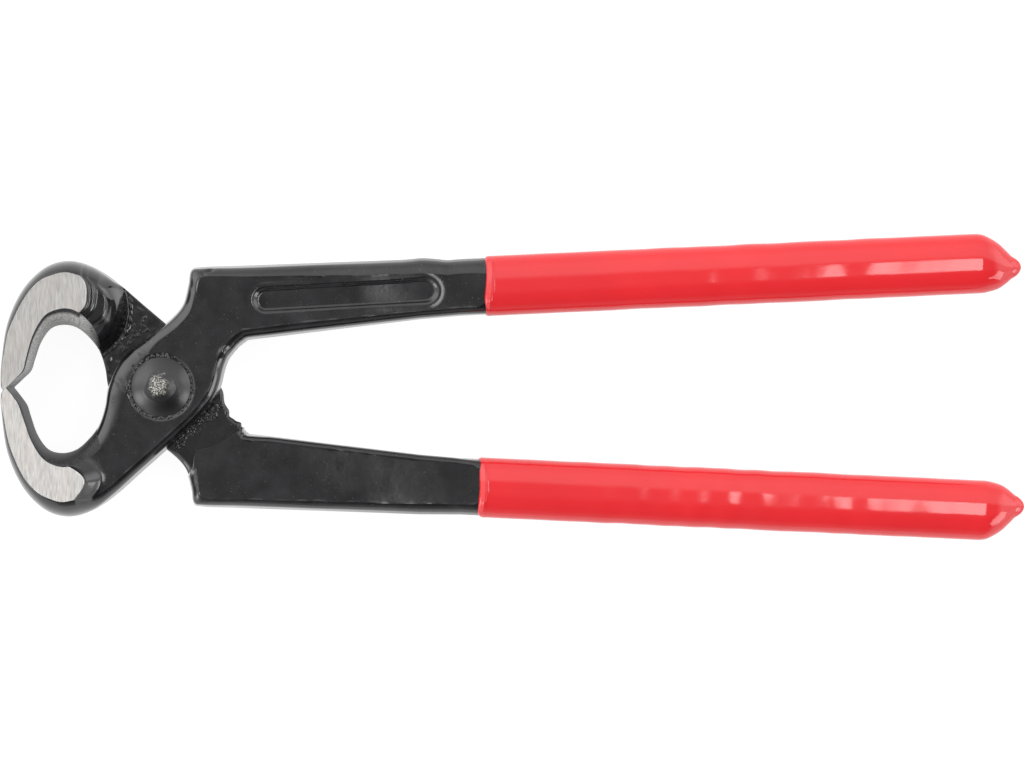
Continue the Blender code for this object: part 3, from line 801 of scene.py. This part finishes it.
def rivet_surface(sizes):
    """The peened rivet: a dome, a shank and a flatter dome below.

    A dome is part of a ball, so its height falls as the square root of 1 less the square of
    the distance. The hammer left a shallow crater in its middle and roughened the floor.
    """
    seat = seat_height(sizes)
    out = np.sin(np.linspace(math.pi / 2, 0.01, 110))
    domes = []
    for radius, height, side in (HEAD_RADIUS, sizes.head_height, 1), (TAIL_RADIUS, 2.2 * MM, -1):
        above_rim = height - 0.35 * MM
        ball = (radius**2 + above_rim**2) / (2 * above_rim)
        rise = height - ball + np.sqrt(ball**2 - (out * radius) ** 2)
        domes.append(np.stack([out * radius, side * (seat + rise)], axis=-1))
    head, tail = domes
    feet = [(TAIL_RADIUS, -seat), (SHANK_RADIUS, -seat), (SHANK_RADIUS, seat), (HEAD_RADIUS, seat)]
    grid = turned(np.concatenate([tail[::-1], feet, head]), 160)
    x, y = grid[..., 0], grid[..., 1]
    away = np.hypot(x, y)
    bumpy = away + 0.25 * MM * waves(x, y, 5 * MM, 12)
    rim = 0.04 * MM * ridge(bumpy, CRATER_RADIUS, 0.4 * MM)
    crater = 0.055 * MM * ease(CRATER_RADIUS, CRATER_RADIUS - 1.2 * MM, bumpy)
    near = np.hypot(x - SPOT[0], y - SPOT[1]) + 0.3 * MM * waves(x, y, 2.4 * MM, 13)
    rough = ease(SPOT_RADIUS + 0.2 * MM, SPOT_RADIUS - 0.7 * MM, near)
    push = rim - crater + rough * 0.035 * MM * waves(x, y, 0.4 * MM, 11, 12)
    grid[..., 2] += np.sign(grid[..., 2]) * push * (np.abs(grid[..., 2]) > seat)
    return grid


def drops(places, seed, low, high, flat):
    """Drops of dried lacquer: ellipsoids at places, with radii from low to high, most of them
    small. A drop's height is flat times its radius, and its length up to 1.9 times."""
    chance = np.random.default_rng(seed)
    each = (len(places), 1, 1)
    lean = np.linspace(0.25, math.pi - 0.25, 6)[::-1]
    ball = turned(np.stack([np.sin(lean), np.cos(lean)], axis=-1), 8)
    radius = low + (high - low) * chance.random(each) ** 2
    long, angle = radius * chance.uniform(1.0, 1.9, each), chance.uniform(0, math.pi, each)
    x, y, z = ball[..., 0] * long, ball[..., 1] * radius, ball[..., 2] * flat * radius
    cosine, sine = np.cos(angle), np.sin(angle)
    return places[:, None, None] + np.stack([x * cosine - y * sine, x * sine + y * cosine, z], -1)


def round_rivet(count, radius, height, seed):
    """Places in a narrow ring round a rivet's head."""
    chance = np.random.default_rng(seed)
    angle = chance.uniform(0, 2 * math.pi, count)
    away = radius + 0.15 * MM + np.abs(chance.normal(0, 0.36 * MM, count))
    return np.stack([away * np.cos(angle), away * np.sin(angle), 0 * away + height], axis=-1)


def along_seam(corners, count, width, height, seed):
    """Places outside a line through corners, denser near it, up to width away from it."""
    chance = np.random.default_rng(seed)
    line = smooth_curve(corners, chance.uniform(0, len(corners) - 1, count))
    away = line / np.linalg.norm(line, axis=-1, keepdims=True)
    place = line + away * (width * chance.random(count) ** 1.5)[:, None]
    return raised(place, np.full(count, height))


def hex_colour(text, share=1.0):
    """An sRGB hex colour as linear values, times share: each part to the power 2.4, after its
    offset."""
    parts = np.array([int(text[i : i + 2], 16) for i in (1, 3, 5)]) / 255
    linear = np.where(parts <= 0.04045, parts / 12.92, ((parts + 0.055) / 1.055) ** 2.4)
    return (*(linear * share).tolist(), 1.0)


def in_use(sockets, key=None):
    """The socket with this number or name, or else the first, of those that a node uses."""
    numbered = ((number, socket) for number, socket in enumerate(sockets) if socket.enabled)
    return next(socket for number, socket in numbered if key in (None, number, socket.name))


def set_up(tree, node, settings):
    """Set a node's properties by name, and its inputs by number or name. An input that is
    given a socket is linked to it, and one given a node to the first output in use there."""
    for key, value in settings.items():
        if isinstance(key, str) and key not in node.inputs:
            setattr(node, key, value)
            continue
        into = in_use(node.inputs, key)
        if isinstance(value, bpy.types.Node):
            value = in_use(value.outputs)
        if isinstance(value, bpy.types.NodeSocket):
            tree.links.new(into, value)
        else:
            into.default_value = value


def add(tree, kind, *inputs, **settings):
    """A new node, with its first inputs in order and its other settings and links by name. A
    MapRange takes the value, the low and high ends of its span, and what these two become."""
    node = tree.nodes.new("ShaderNode" + kind)
    set_up(tree, node, {**settings, **dict(enumerate(inputs))})
    return node


def black_lacquer(tree, colours):
    """Black stoving lacquer, dipped over scaly forged steel: a deep gloss that shows the
    forging's slow waves, with a few specks of dust and a slightly uneven sheen."""
    place = add(tree, "TexCoord").outputs["Object"]
    cloud = add(tree, "TexNoise", place, Scale=1 / (5 * MM), Detail=8, Roughness=0.7)
    shade = add(tree, "MapRange", cloud, 0.38, 0.66)
    black, cloudy = hex_colour(colours.lacquer), hex_colour("#252527")
    colour = add(tree, "Mix", data_type="RGBA", Factor=shade, A=black, B=cloudy)
    specks = add(tree, "TexNoise", place, Scale=1 / (0.45 * MM), Detail=1)
    dust = add(tree, "MapRange", specks, 0.73, 0.78, 0, 0.45)
    colour = add(tree, "Mix", data_type="RGBA", Factor=dust, A=colour, B=hex_colour("#77756F"))
    runs = add(tree, "TexNoise", place, Scale=1 / (8 * MM), Detail=4)
    sheen = add(tree, "MapRange", runs, 0.3, 0.7, 0.1, 0.17)
    slow = add(tree, "TexNoise", place, Scale=1 / (7 * MM), Detail=2)
    fine = add(tree, "TexNoise", place, Scale=1 / (0.9 * MM), Detail=4)
    swells = add(tree, "Bump", Strength=0.15, Distance=0.25 * MM, Height=slow)
    skin_bump = add(tree, "Bump", Strength=0.5, Distance=0.022 * MM, Height=fine, Normal=swells)
    return {"Base Color": colour, "Roughness": sheen, "IOR": 1.65, "Normal": skin_bump}


def milled_throat(tree, colours):
    """Thin lacquer over the milled wall of the throat: duller and greyer than the forged
    skin, with the cutter's fine lines running along the tool's thickness. Real lines are
    0.1 mm apart; they are drawn 0.3 mm apart to show. On the lever on the +Y side the
    lacquer only took along the upper rim and at the back, and the rest shows pale steel."""
    place = add(tree, "TexCoord").outputs["Object"]
    stretch = add(tree, "Mapping", place, Scale=(1, 1, 0.12))
    lines = add(tree, "TexNoise", stretch, Scale=1 / (0.3 * MM), Detail=2)
    shade = add(tree, "MapRange", lines, 0.35, 0.7)
    black, grey = hex_colour(colours.lacquer), hex_colour("#3A3A3C")
    lacquer = add(tree, "Mix", data_type="RGBA", Factor=shade, A=black, B=grey)
    dull, pale = hex_colour("#8C8B8B"), hex_colour("#D0CFCD")
    bare = add(tree, "Mix", data_type="RGBA", Factor=shade, A=dull, B=pale)
    parts = add(tree, "SeparateXYZ", place).outputs
    side = add(tree, "MapRange", parts["Y"], -2 * MM, 2 * MM)
    below = add(tree, "MapRange", parts["Z"], 2 * JAW_HALF - 0.4 * MM, 2 * JAW_HALF - 1.1 * MM)
    front = add(tree, "MapRange", parts["X"], PIVOT[0] - 15 * MM, PIVOT[0] - 19 * MM)
    share = add(tree, "Math", side, below, operation="MULTIPLY")
    share = add(tree, "Math", share, front, operation="MULTIPLY")
    colour = add(tree, "Mix", data_type="RGBA", Factor=share, A=lacquer, B=bare)
    sheen = add(tree, "MapRange", lines, 0.3, 0.7, 0.5, 0.62)
    bump = add(tree, "Bump", Strength=0.5, Distance=0.05 * MM, Height=lines)
    return {"Base Color": colour, "Roughness": sheen, "Normal": bump}


def ground_steel(tree, colours):
    """Bare tool steel, ground flat on a belt: bright, with fine straight lines across the
    tool. Real grit leaves lines 0.05 mm apart; they are drawn 0.25 mm apart to show. On the
    lever on the +Y side the steel is mixed up to a quarter of the way towards dark grey: painted
    shade, where that jaw's ground side gets less light."""
    place = add(tree, "TexCoord").outputs["Object"]
    fine = add(tree, "Mapping", place, Scale=(1, 0.1, 0.1))
    coarse = add(tree, "Mapping", place, Scale=(1, 0.5, 0.5))
    lines = add(tree, "TexNoise", fine, Scale=1 / (0.25 * MM), Detail=2)
    broad = add(tree, "TexNoise", coarse, Scale=1 / (4 * MM), Detail=2)
    shade = add(tree, "MapRange", lines, 0.3, 0.7)
    dull, bright = hex_colour(colours.steel, 0.72), hex_colour(colours.steel)
    colour = add(tree, "Mix", data_type="RGBA", Factor=shade, A=dull, B=bright)
    warm = add(tree, "MapRange", broad, 0.35, 0.65, 0, 0.5)
    colour = add(tree, "Mix", data_type="RGBA", Factor=warm, A=colour, B=hex_colour("#EBE3DD"))
    # Painted shade: the ground side of the jaw on the +Y side is darkened towards dark grey by its
    # place, where less light falls on it
    side = add(tree, "SeparateXYZ", place).outputs["Y"]
    blend_share = add(tree, "MapRange", side, -2 * MM, 2 * MM, 0, 0.24)
    colour = add(tree, "Mix", data_type="RGBA", Factor=blend_share, A=colour, B=hex_colour("#4A4948"))
    sheen = add(tree, "MapRange", lines, 0.3, 0.7, 0.38, 0.5)
    bump = add(tree, "Bump", Strength=0.15, Distance=0.02 * MM, Height=lines)
    return {"Base Color": colour, "Metallic": 1.0, "Roughness": sheen, "Normal": bump}


def peened_rivet(tree, colours):
    """The rivet's lacquered head, whose middle is bare grey scale from the hammer: bright
    grains on black, in a ragged patch that leans from lower left to upper right."""
    place = add(tree, "TexCoord").outputs["Object"]
    centre = (-PIVOT[0] - SPOT[0], -PIVOT[1] - SPOT[1], 0)
    spot = add(tree, "Mapping", place, Location=centre, Scale=(1, 1, 0))
    spot = add(tree, "Mapping", spot, Rotation=(0, 0, 20 * DEGREE), Scale=(1.25, 0.95, 1))
    away = add(tree, "VectorMath", spot, operation="LENGTH")
    ragged = add(tree, "TexNoise", place, Scale=1 / (1.4 * MM), Detail=4)
    push = add(tree, "MapRange", ragged, 0.2, 0.8, -1.4 * MM, 1.4 * MM)
    total = add(tree, "Math", away, push, operation="ADD")
    bare = add(tree, "MapRange", total, 1.9 * MM, 2.9 * MM, 1, 0)
    grit = add(tree, "TexNoise", place, Scale=1 / (0.3 * MM), Detail=2)
    grain = add(tree, "MapRange", grit, 0.46, 0.58)
    blend_share = add(tree, "Math", bare, grain, operation="MULTIPLY")
    black, scale = hex_colour(colours.lacquer), hex_colour("#BAB6AE")
    colour = add(tree, "Mix", data_type="RGBA", Factor=blend_share, A=black, B=scale)
    rough = add(tree, "MapRange", bare, 0, 1, 0.3, 0.5)
    fine = add(tree, "TexNoise", place, Scale=1 / (1.2 * MM), Detail=3)
    bump = add(tree, "Bump", Strength=0.4, Distance=0.06 * MM, Height=fine)
    return {"Base Color": colour, "Roughness": rough, "IOR": 1.65, "Normal": bump}


def red_vinyl(tree, colours):
    """Dipped soft vinyl: a wet, even red with a clear gloss and slow waves where it ran."""
    place = add(tree, "TexCoord").outputs["Object"]
    cloud = add(tree, "TexNoise", place, Scale=1 / (20 * MM))
    shade = add(tree, "MapRange", cloud, 0.3, 0.7)
    red, deep = hex_colour(colours.vinyl), hex_colour(colours.vinyl, 0.93)
    colour = add(tree, "Mix", data_type="RGBA", Factor=shade, A=red, B=deep)
    patch = add(tree, "TexNoise", place, Scale=1 / (30 * MM))
    sheen = add(tree, "MapRange", patch, 0.3, 0.7, 0.06, 0.14)
    stretch = add(tree, "Mapping", place, Scale=(1, 0.5, 0.5))
    slow = add(tree, "TexNoise", stretch, Scale=1 / (9 * MM), Detail=2)
    bump = add(tree, "Bump", Strength=0.35, Distance=0.25 * MM, Height=slow)
    return {"Base Color": colour, "Roughness": sheen, "IOR": 1.57, "Normal": bump}


def white_table(tree, colours):
    """A white laminate table, matt. Seen by the camera or in a reflection it glows a little,
    so that it reads as white and the tool's shadow on it stays faint."""
    path = add(tree, "LightPath").outputs
    seen = path["Is Camera Ray"]
    for other in ("Is Glossy Ray", "Is Transmission Ray"):
        seen = add(tree, "Math", seen, path[other], operation="MAXIMUM")
    white, dim = hex_colour(colours.floor), hex_colour(colours.floor, 0.2)
    return {
        "Base Color": add(tree, "Mix", data_type="RGBA", Factor=seen, A=white, B=dim),
        "Roughness": 0.9,
        "Specular IOR Level": 0.0,
        "Emission Color": (1, 1, 1, 1),
        "Emission Strength": add(tree, "Math", seen, 0.93, operation="MULTIPLY"),
    }


# Each finish's function, which adds its nodes and gives the shader's settings, and its name
FINISHES = {
    black_lacquer: "Black stoving lacquer over forged steel",
    milled_throat: "Thin lacquer over milled steel",
    ground_steel: "Belt-ground bare tool steel",
    peened_rivet: "Lacquered rivet, peened bare in the middle",
    red_vinyl: "Dipped red vinyl",
    white_table: "White matt table",
}


def material(context, finish):
    """The material of a finish, made when it is first asked for."""
    made = bpy.data.materials.get(FINISHES[finish])
    if not made:
        made = bpy.data.materials.new(FINISHES[finish])
        made.use_nodes = True
        tree = made.node_tree
        settings = finish(tree, context.scene.pincers_colours)
        set_up(tree, tree.nodes["Principled BSDF"], settings)
    return made


class PINCERS_OT_levers(bpy.types.Operator):
    """Build the two lever forgings."""

    bl_idname = "pincers.levers"
    bl_label = "Levers"
    bl_options = {"REGISTER", "UNDO"}

    def execute(self, context):
        # Each forging was dressed by hand: belly, throat and shoulder cut, burr, lean of the
        # cutting edge, and share of the draft left inside the handles
        upper = (0.0, 0.5 * MM, 0.0, 0.03 * MM, -0.85 * MM, 1.0)
        lower = (0.9 * MM, -0.5 * MM, 0.7 * MM, 0.25 * MM, 0.85 * MM, 0.15)
        lever("upper_lever_forging", "upper", "upper_lever", False, upper, context)
        lever("lower_lever_forging", "lower", "lower_lever", True, lower, context)
        return {"FINISHED"}


class PINCERS_OT_rivet(bpy.types.Operator):
    """Build the rivet that both levers turn on."""

    bl_idname = "pincers.rivet"
    bl_label = "Rivet"
    bl_options = {"REGISTER", "UNDO"}

    def execute(self, context):
        obj = skin("peened_rivet", placed(rivet_surface(context.scene.pincers_sizes), False)[None])
        obj.data.materials.append(material(context, peened_rivet))
        obj.data.set_sharp_from_angle(angle=60 * DEGREE)
        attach(obj, "upper")
        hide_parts("pivot_rivet")
        return {"FINISHED"}


class PINCERS_OT_grips(bpy.types.Operator):
    """Build the two dipped grips."""

    bl_idname = "pincers.grips"
    bl_label = "Grips"
    bl_options = {"REGISTER", "UNDO"}

    def execute(self, context):
        grip("upper_dipped_grip", "upper", "upper_grip", False, 21, (-1.1 * MM, 0.2 * MM), context)
        grip("lower_dipped_grip", "lower", "lower_grip", True, 22, (-2.7 * MM, 1.0 * MM), context)
        return {"FINISHED"}


class PINCERS_OT_beads(bpy.types.Operator):
    """Build the beads of lacquer that dried round the rivet and along the lap's seam."""

    bl_idname = "pincers.beads"
    bl_label = "Lacquer beads"
    bl_options = {"REGISTER", "UNDO"}

    def execute(self, context):
        sizes = context.scene.pincers_sizes
        seat, floor = seat_height(sizes), -LAP_FLOOR
        low_seam = np.array([(3.2, -13.2), (5.8, -10.9), (10.3, -6.9), (12.8, -4.2)]) * MM
        high_seam = np.array([(-9.6, 8.6), (-6.6, 11.4), (-3.4, 14.0)]) * MM
        upper = round_rivet(sizes.beads, HEAD_RADIUS, seat, 31)
        lower = round_rivet(sizes.beads, TAIL_RADIUS, seat, 32)
        seam = along_seam(low_seam, 140, 2.3 * MM, floor, 33)
        edge = along_seam(high_seam, 60, 3.4 * MM, floor, 34)
        # The drops' seed, their least and greatest radius, and height as a share of the radius
        on_rivet, on_seam = (57, 0.17 * MM, 0.5 * MM, 0.8), (54, 0.2 * MM, 0.55 * MM, 0.27)
        for name, body, flipped, places, drop in (
            ("upper_rivet_beads", "upper", False, upper, on_rivet),
            ("lower_rivet_beads", "lower", True, lower, on_rivet),
            ("lap_seam_beads", "lower", False, seam, on_seam),
            ("lap_edge_beads", "lower", False, edge, on_seam),
        ):
            obj = skin(name, placed(drops(places, *drop), flipped))
            obj.data.materials.append(material(context, black_lacquer))
            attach(obj, body)
        return {"FINISHED"}


TABLE_HALF = 1.6
TABLE_TILT = math.atan2(6.6 * MM, 217 * MM)  # the tool rests on its jaws and its grips' ends
TABLE_DROP = 0.2 * MM  # below the tool, so that the two don't touch
CAMERA_HEIGHT = 1.1
CAMERA_LENS = 157.3
AIM = Vector((-0.0005, 0.0007, 0.012))


class PINCERS_OT_studio(bpy.types.Operator):
    """Build the white table, the light and the camera above it."""

    bl_idname = "pincers.studio"
    bl_label = "Studio"
    bl_options = {"REGISTER", "UNDO"}

    def execute(self, context):
        self.table(context)
        self.lamps(context)
        self.world(context)
        self.camera(context)
        context.scene.view_settings.view_transform = "Standard"
        return {"FINISHED"}

    def table(self, context):
        corners = TABLE_HALF * np.array([(-1, -1), (1, -1), (1, 1), (-1, 1)])
        from_rest = corners[:, 0] - (CAD_BOX[0][0] + 12 * MM)
        points = np.column_stack([corners, from_rest * math.tan(TABLE_TILT) - TABLE_DROP])
        mesh = bpy.data.meshes.new("white_table")
        mesh.from_pydata(points.tolist(), [], [(0, 1, 2, 3)])
        obj = bpy.data.objects.new("white_table", mesh)
        context.scene.collection.objects.link(obj)
        mesh.materials.append(material(context, white_table))

    def lamps(self, context):
        # Each lamp's name, place, size and radiance
        for name, place, size, radiance in (
            ("grip_softbox", (0.335, 0.01, 1.15), (0.24, 0.38), 5.6),
            ("left_side_softbox", (-1.05, -0.5, 0.5), (0.5, 0.5), 3.2),
            ("right_side_softbox", (1.05, -0.5, 0.5), (0.5, 0.5), 3.2),
        ):
            data = bpy.data.lights.new(name, "AREA")
            data.shape = "RECTANGLE"
            data.size, data.size_y = size
            data.energy = radiance * math.pi * size[0] * size[1]
            lamp = bpy.data.objects.new(name, data)
            lamp.location = place
            if "side" in name:
                lamp.rotation_euler = (-Vector(place)).to_track_quat("-Z", "Y").to_euler()
            context.scene.collection.objects.link(lamp)

    def world(self, context):
        """A tent round the table: bright on the far side, darker overhead and darkest on the
        near side, by the angle from overhead towards +Y, and brighter towards its two ends.
        To the camera it is plain white."""
        world = context.scene.world or bpy.data.worlds.new("Tent")
        context.scene.world = world
        world.use_nodes = True
        tree = world.node_tree
        parts = add(tree, "SeparateXYZ", add(tree, "TexCoord").outputs["Generated"]).outputs
        angle = add(tree, "Math", parts["Y"], parts["Z"], operation="ARCTAN2")
        tent = add(tree, "MapRange", angle, -20 * DEGREE, -8 * DEGREE, 0.14, 0.345)
        for source, *span in (
            (angle, 8 * DEGREE, 16 * DEGREE, 0, 0.95),
            (angle, 48 * DEGREE, 70 * DEGREE, 0, -0.3),
            (angle, -58 * DEGREE, -80 * DEGREE, 0, 0.4),
            (parts["X"], -0.2, -0.58, 0, 1.1),
            (parts["X"], 0.68, 0.8, 0, 1.2),
            (parts["X"], -0.1, 0.2, 0.06, -0.1),
        ):
            share = add(tree, "MapRange", source, *span)
            tent = add(tree, "Math", tent, share, operation="ADD")
        seen = add(tree, "LightPath").outputs["Is Camera Ray"]
        strength = add(tree, "Mix", data_type="FLOAT", Factor=seen, A=tent, B=1)
        set_up(tree, tree.nodes["Background"], {"Color": (1, 1, 1, 1), "Strength": strength})

    def camera(self, context):
        data = bpy.data.cameras.new("Camera")
        data.lens = CAMERA_LENS
        data.clip_start, data.clip_end = 0.05, 20
        camera = bpy.data.objects.new("Camera", data)
        aim = Matrix.Translation(AIM) @ Matrix.Rotation(-TABLE_TILT, 4, "Y")
        camera.matrix_world = aim @ Matrix.Translation((0, 0, CAMERA_HEIGHT))
        context.scene.collection.objects.link(camera)
        context.scene.camera = camera


class PINCERS_PT_panel(bpy.types.Panel):
    """Lists the steps and their sizes in the 3D view's sidebar."""

    bl_idname = "PINCERS_PT_panel"
    bl_label = "Pincers"
    bl_space_type = "VIEW_3D"
    bl_region_type = "UI"
    bl_category = "Pincers"

    def draw(self, context):
        for group in (context.scene.pincers_sizes, context.scene.pincers_colours):
            column = self.layout.column(align=True)
            for name in group.__annotations__:
                column.prop(group, name)
        for step in STEPS:
            self.layout.operator(step.bl_idname)


STEPS = (
    PINCERS_OT_levers,
    PINCERS_OT_rivet,
    PINCERS_OT_grips,
    PINCERS_OT_beads,
    PINCERS_OT_studio,
)
CLASSES = (PincersSizes, PincersColours, *STEPS, PINCERS_PT_panel)


def register():
    for kind in CLASSES:
        bpy.utils.register_class(kind)
    bpy.types.Scene.pincers_sizes = PointerProperty(type=PincersSizes)
    bpy.types.Scene.pincers_colours = PointerProperty(type=PincersColours)


def unregister():
    del bpy.types.Scene.pincers_colours
    del bpy.types.Scene.pincers_sizes
    for kind in reversed(CLASSES):
        bpy.utils.unregister_class(kind)


def main():
    register()
    bpy.ops.pincers.levers()
    bpy.ops.pincers.rivet()
    bpy.ops.pincers.grips()
    bpy.ops.pincers.beads()
    bpy.ops.pincers.studio()


if __name__ == "__main__":
    main()
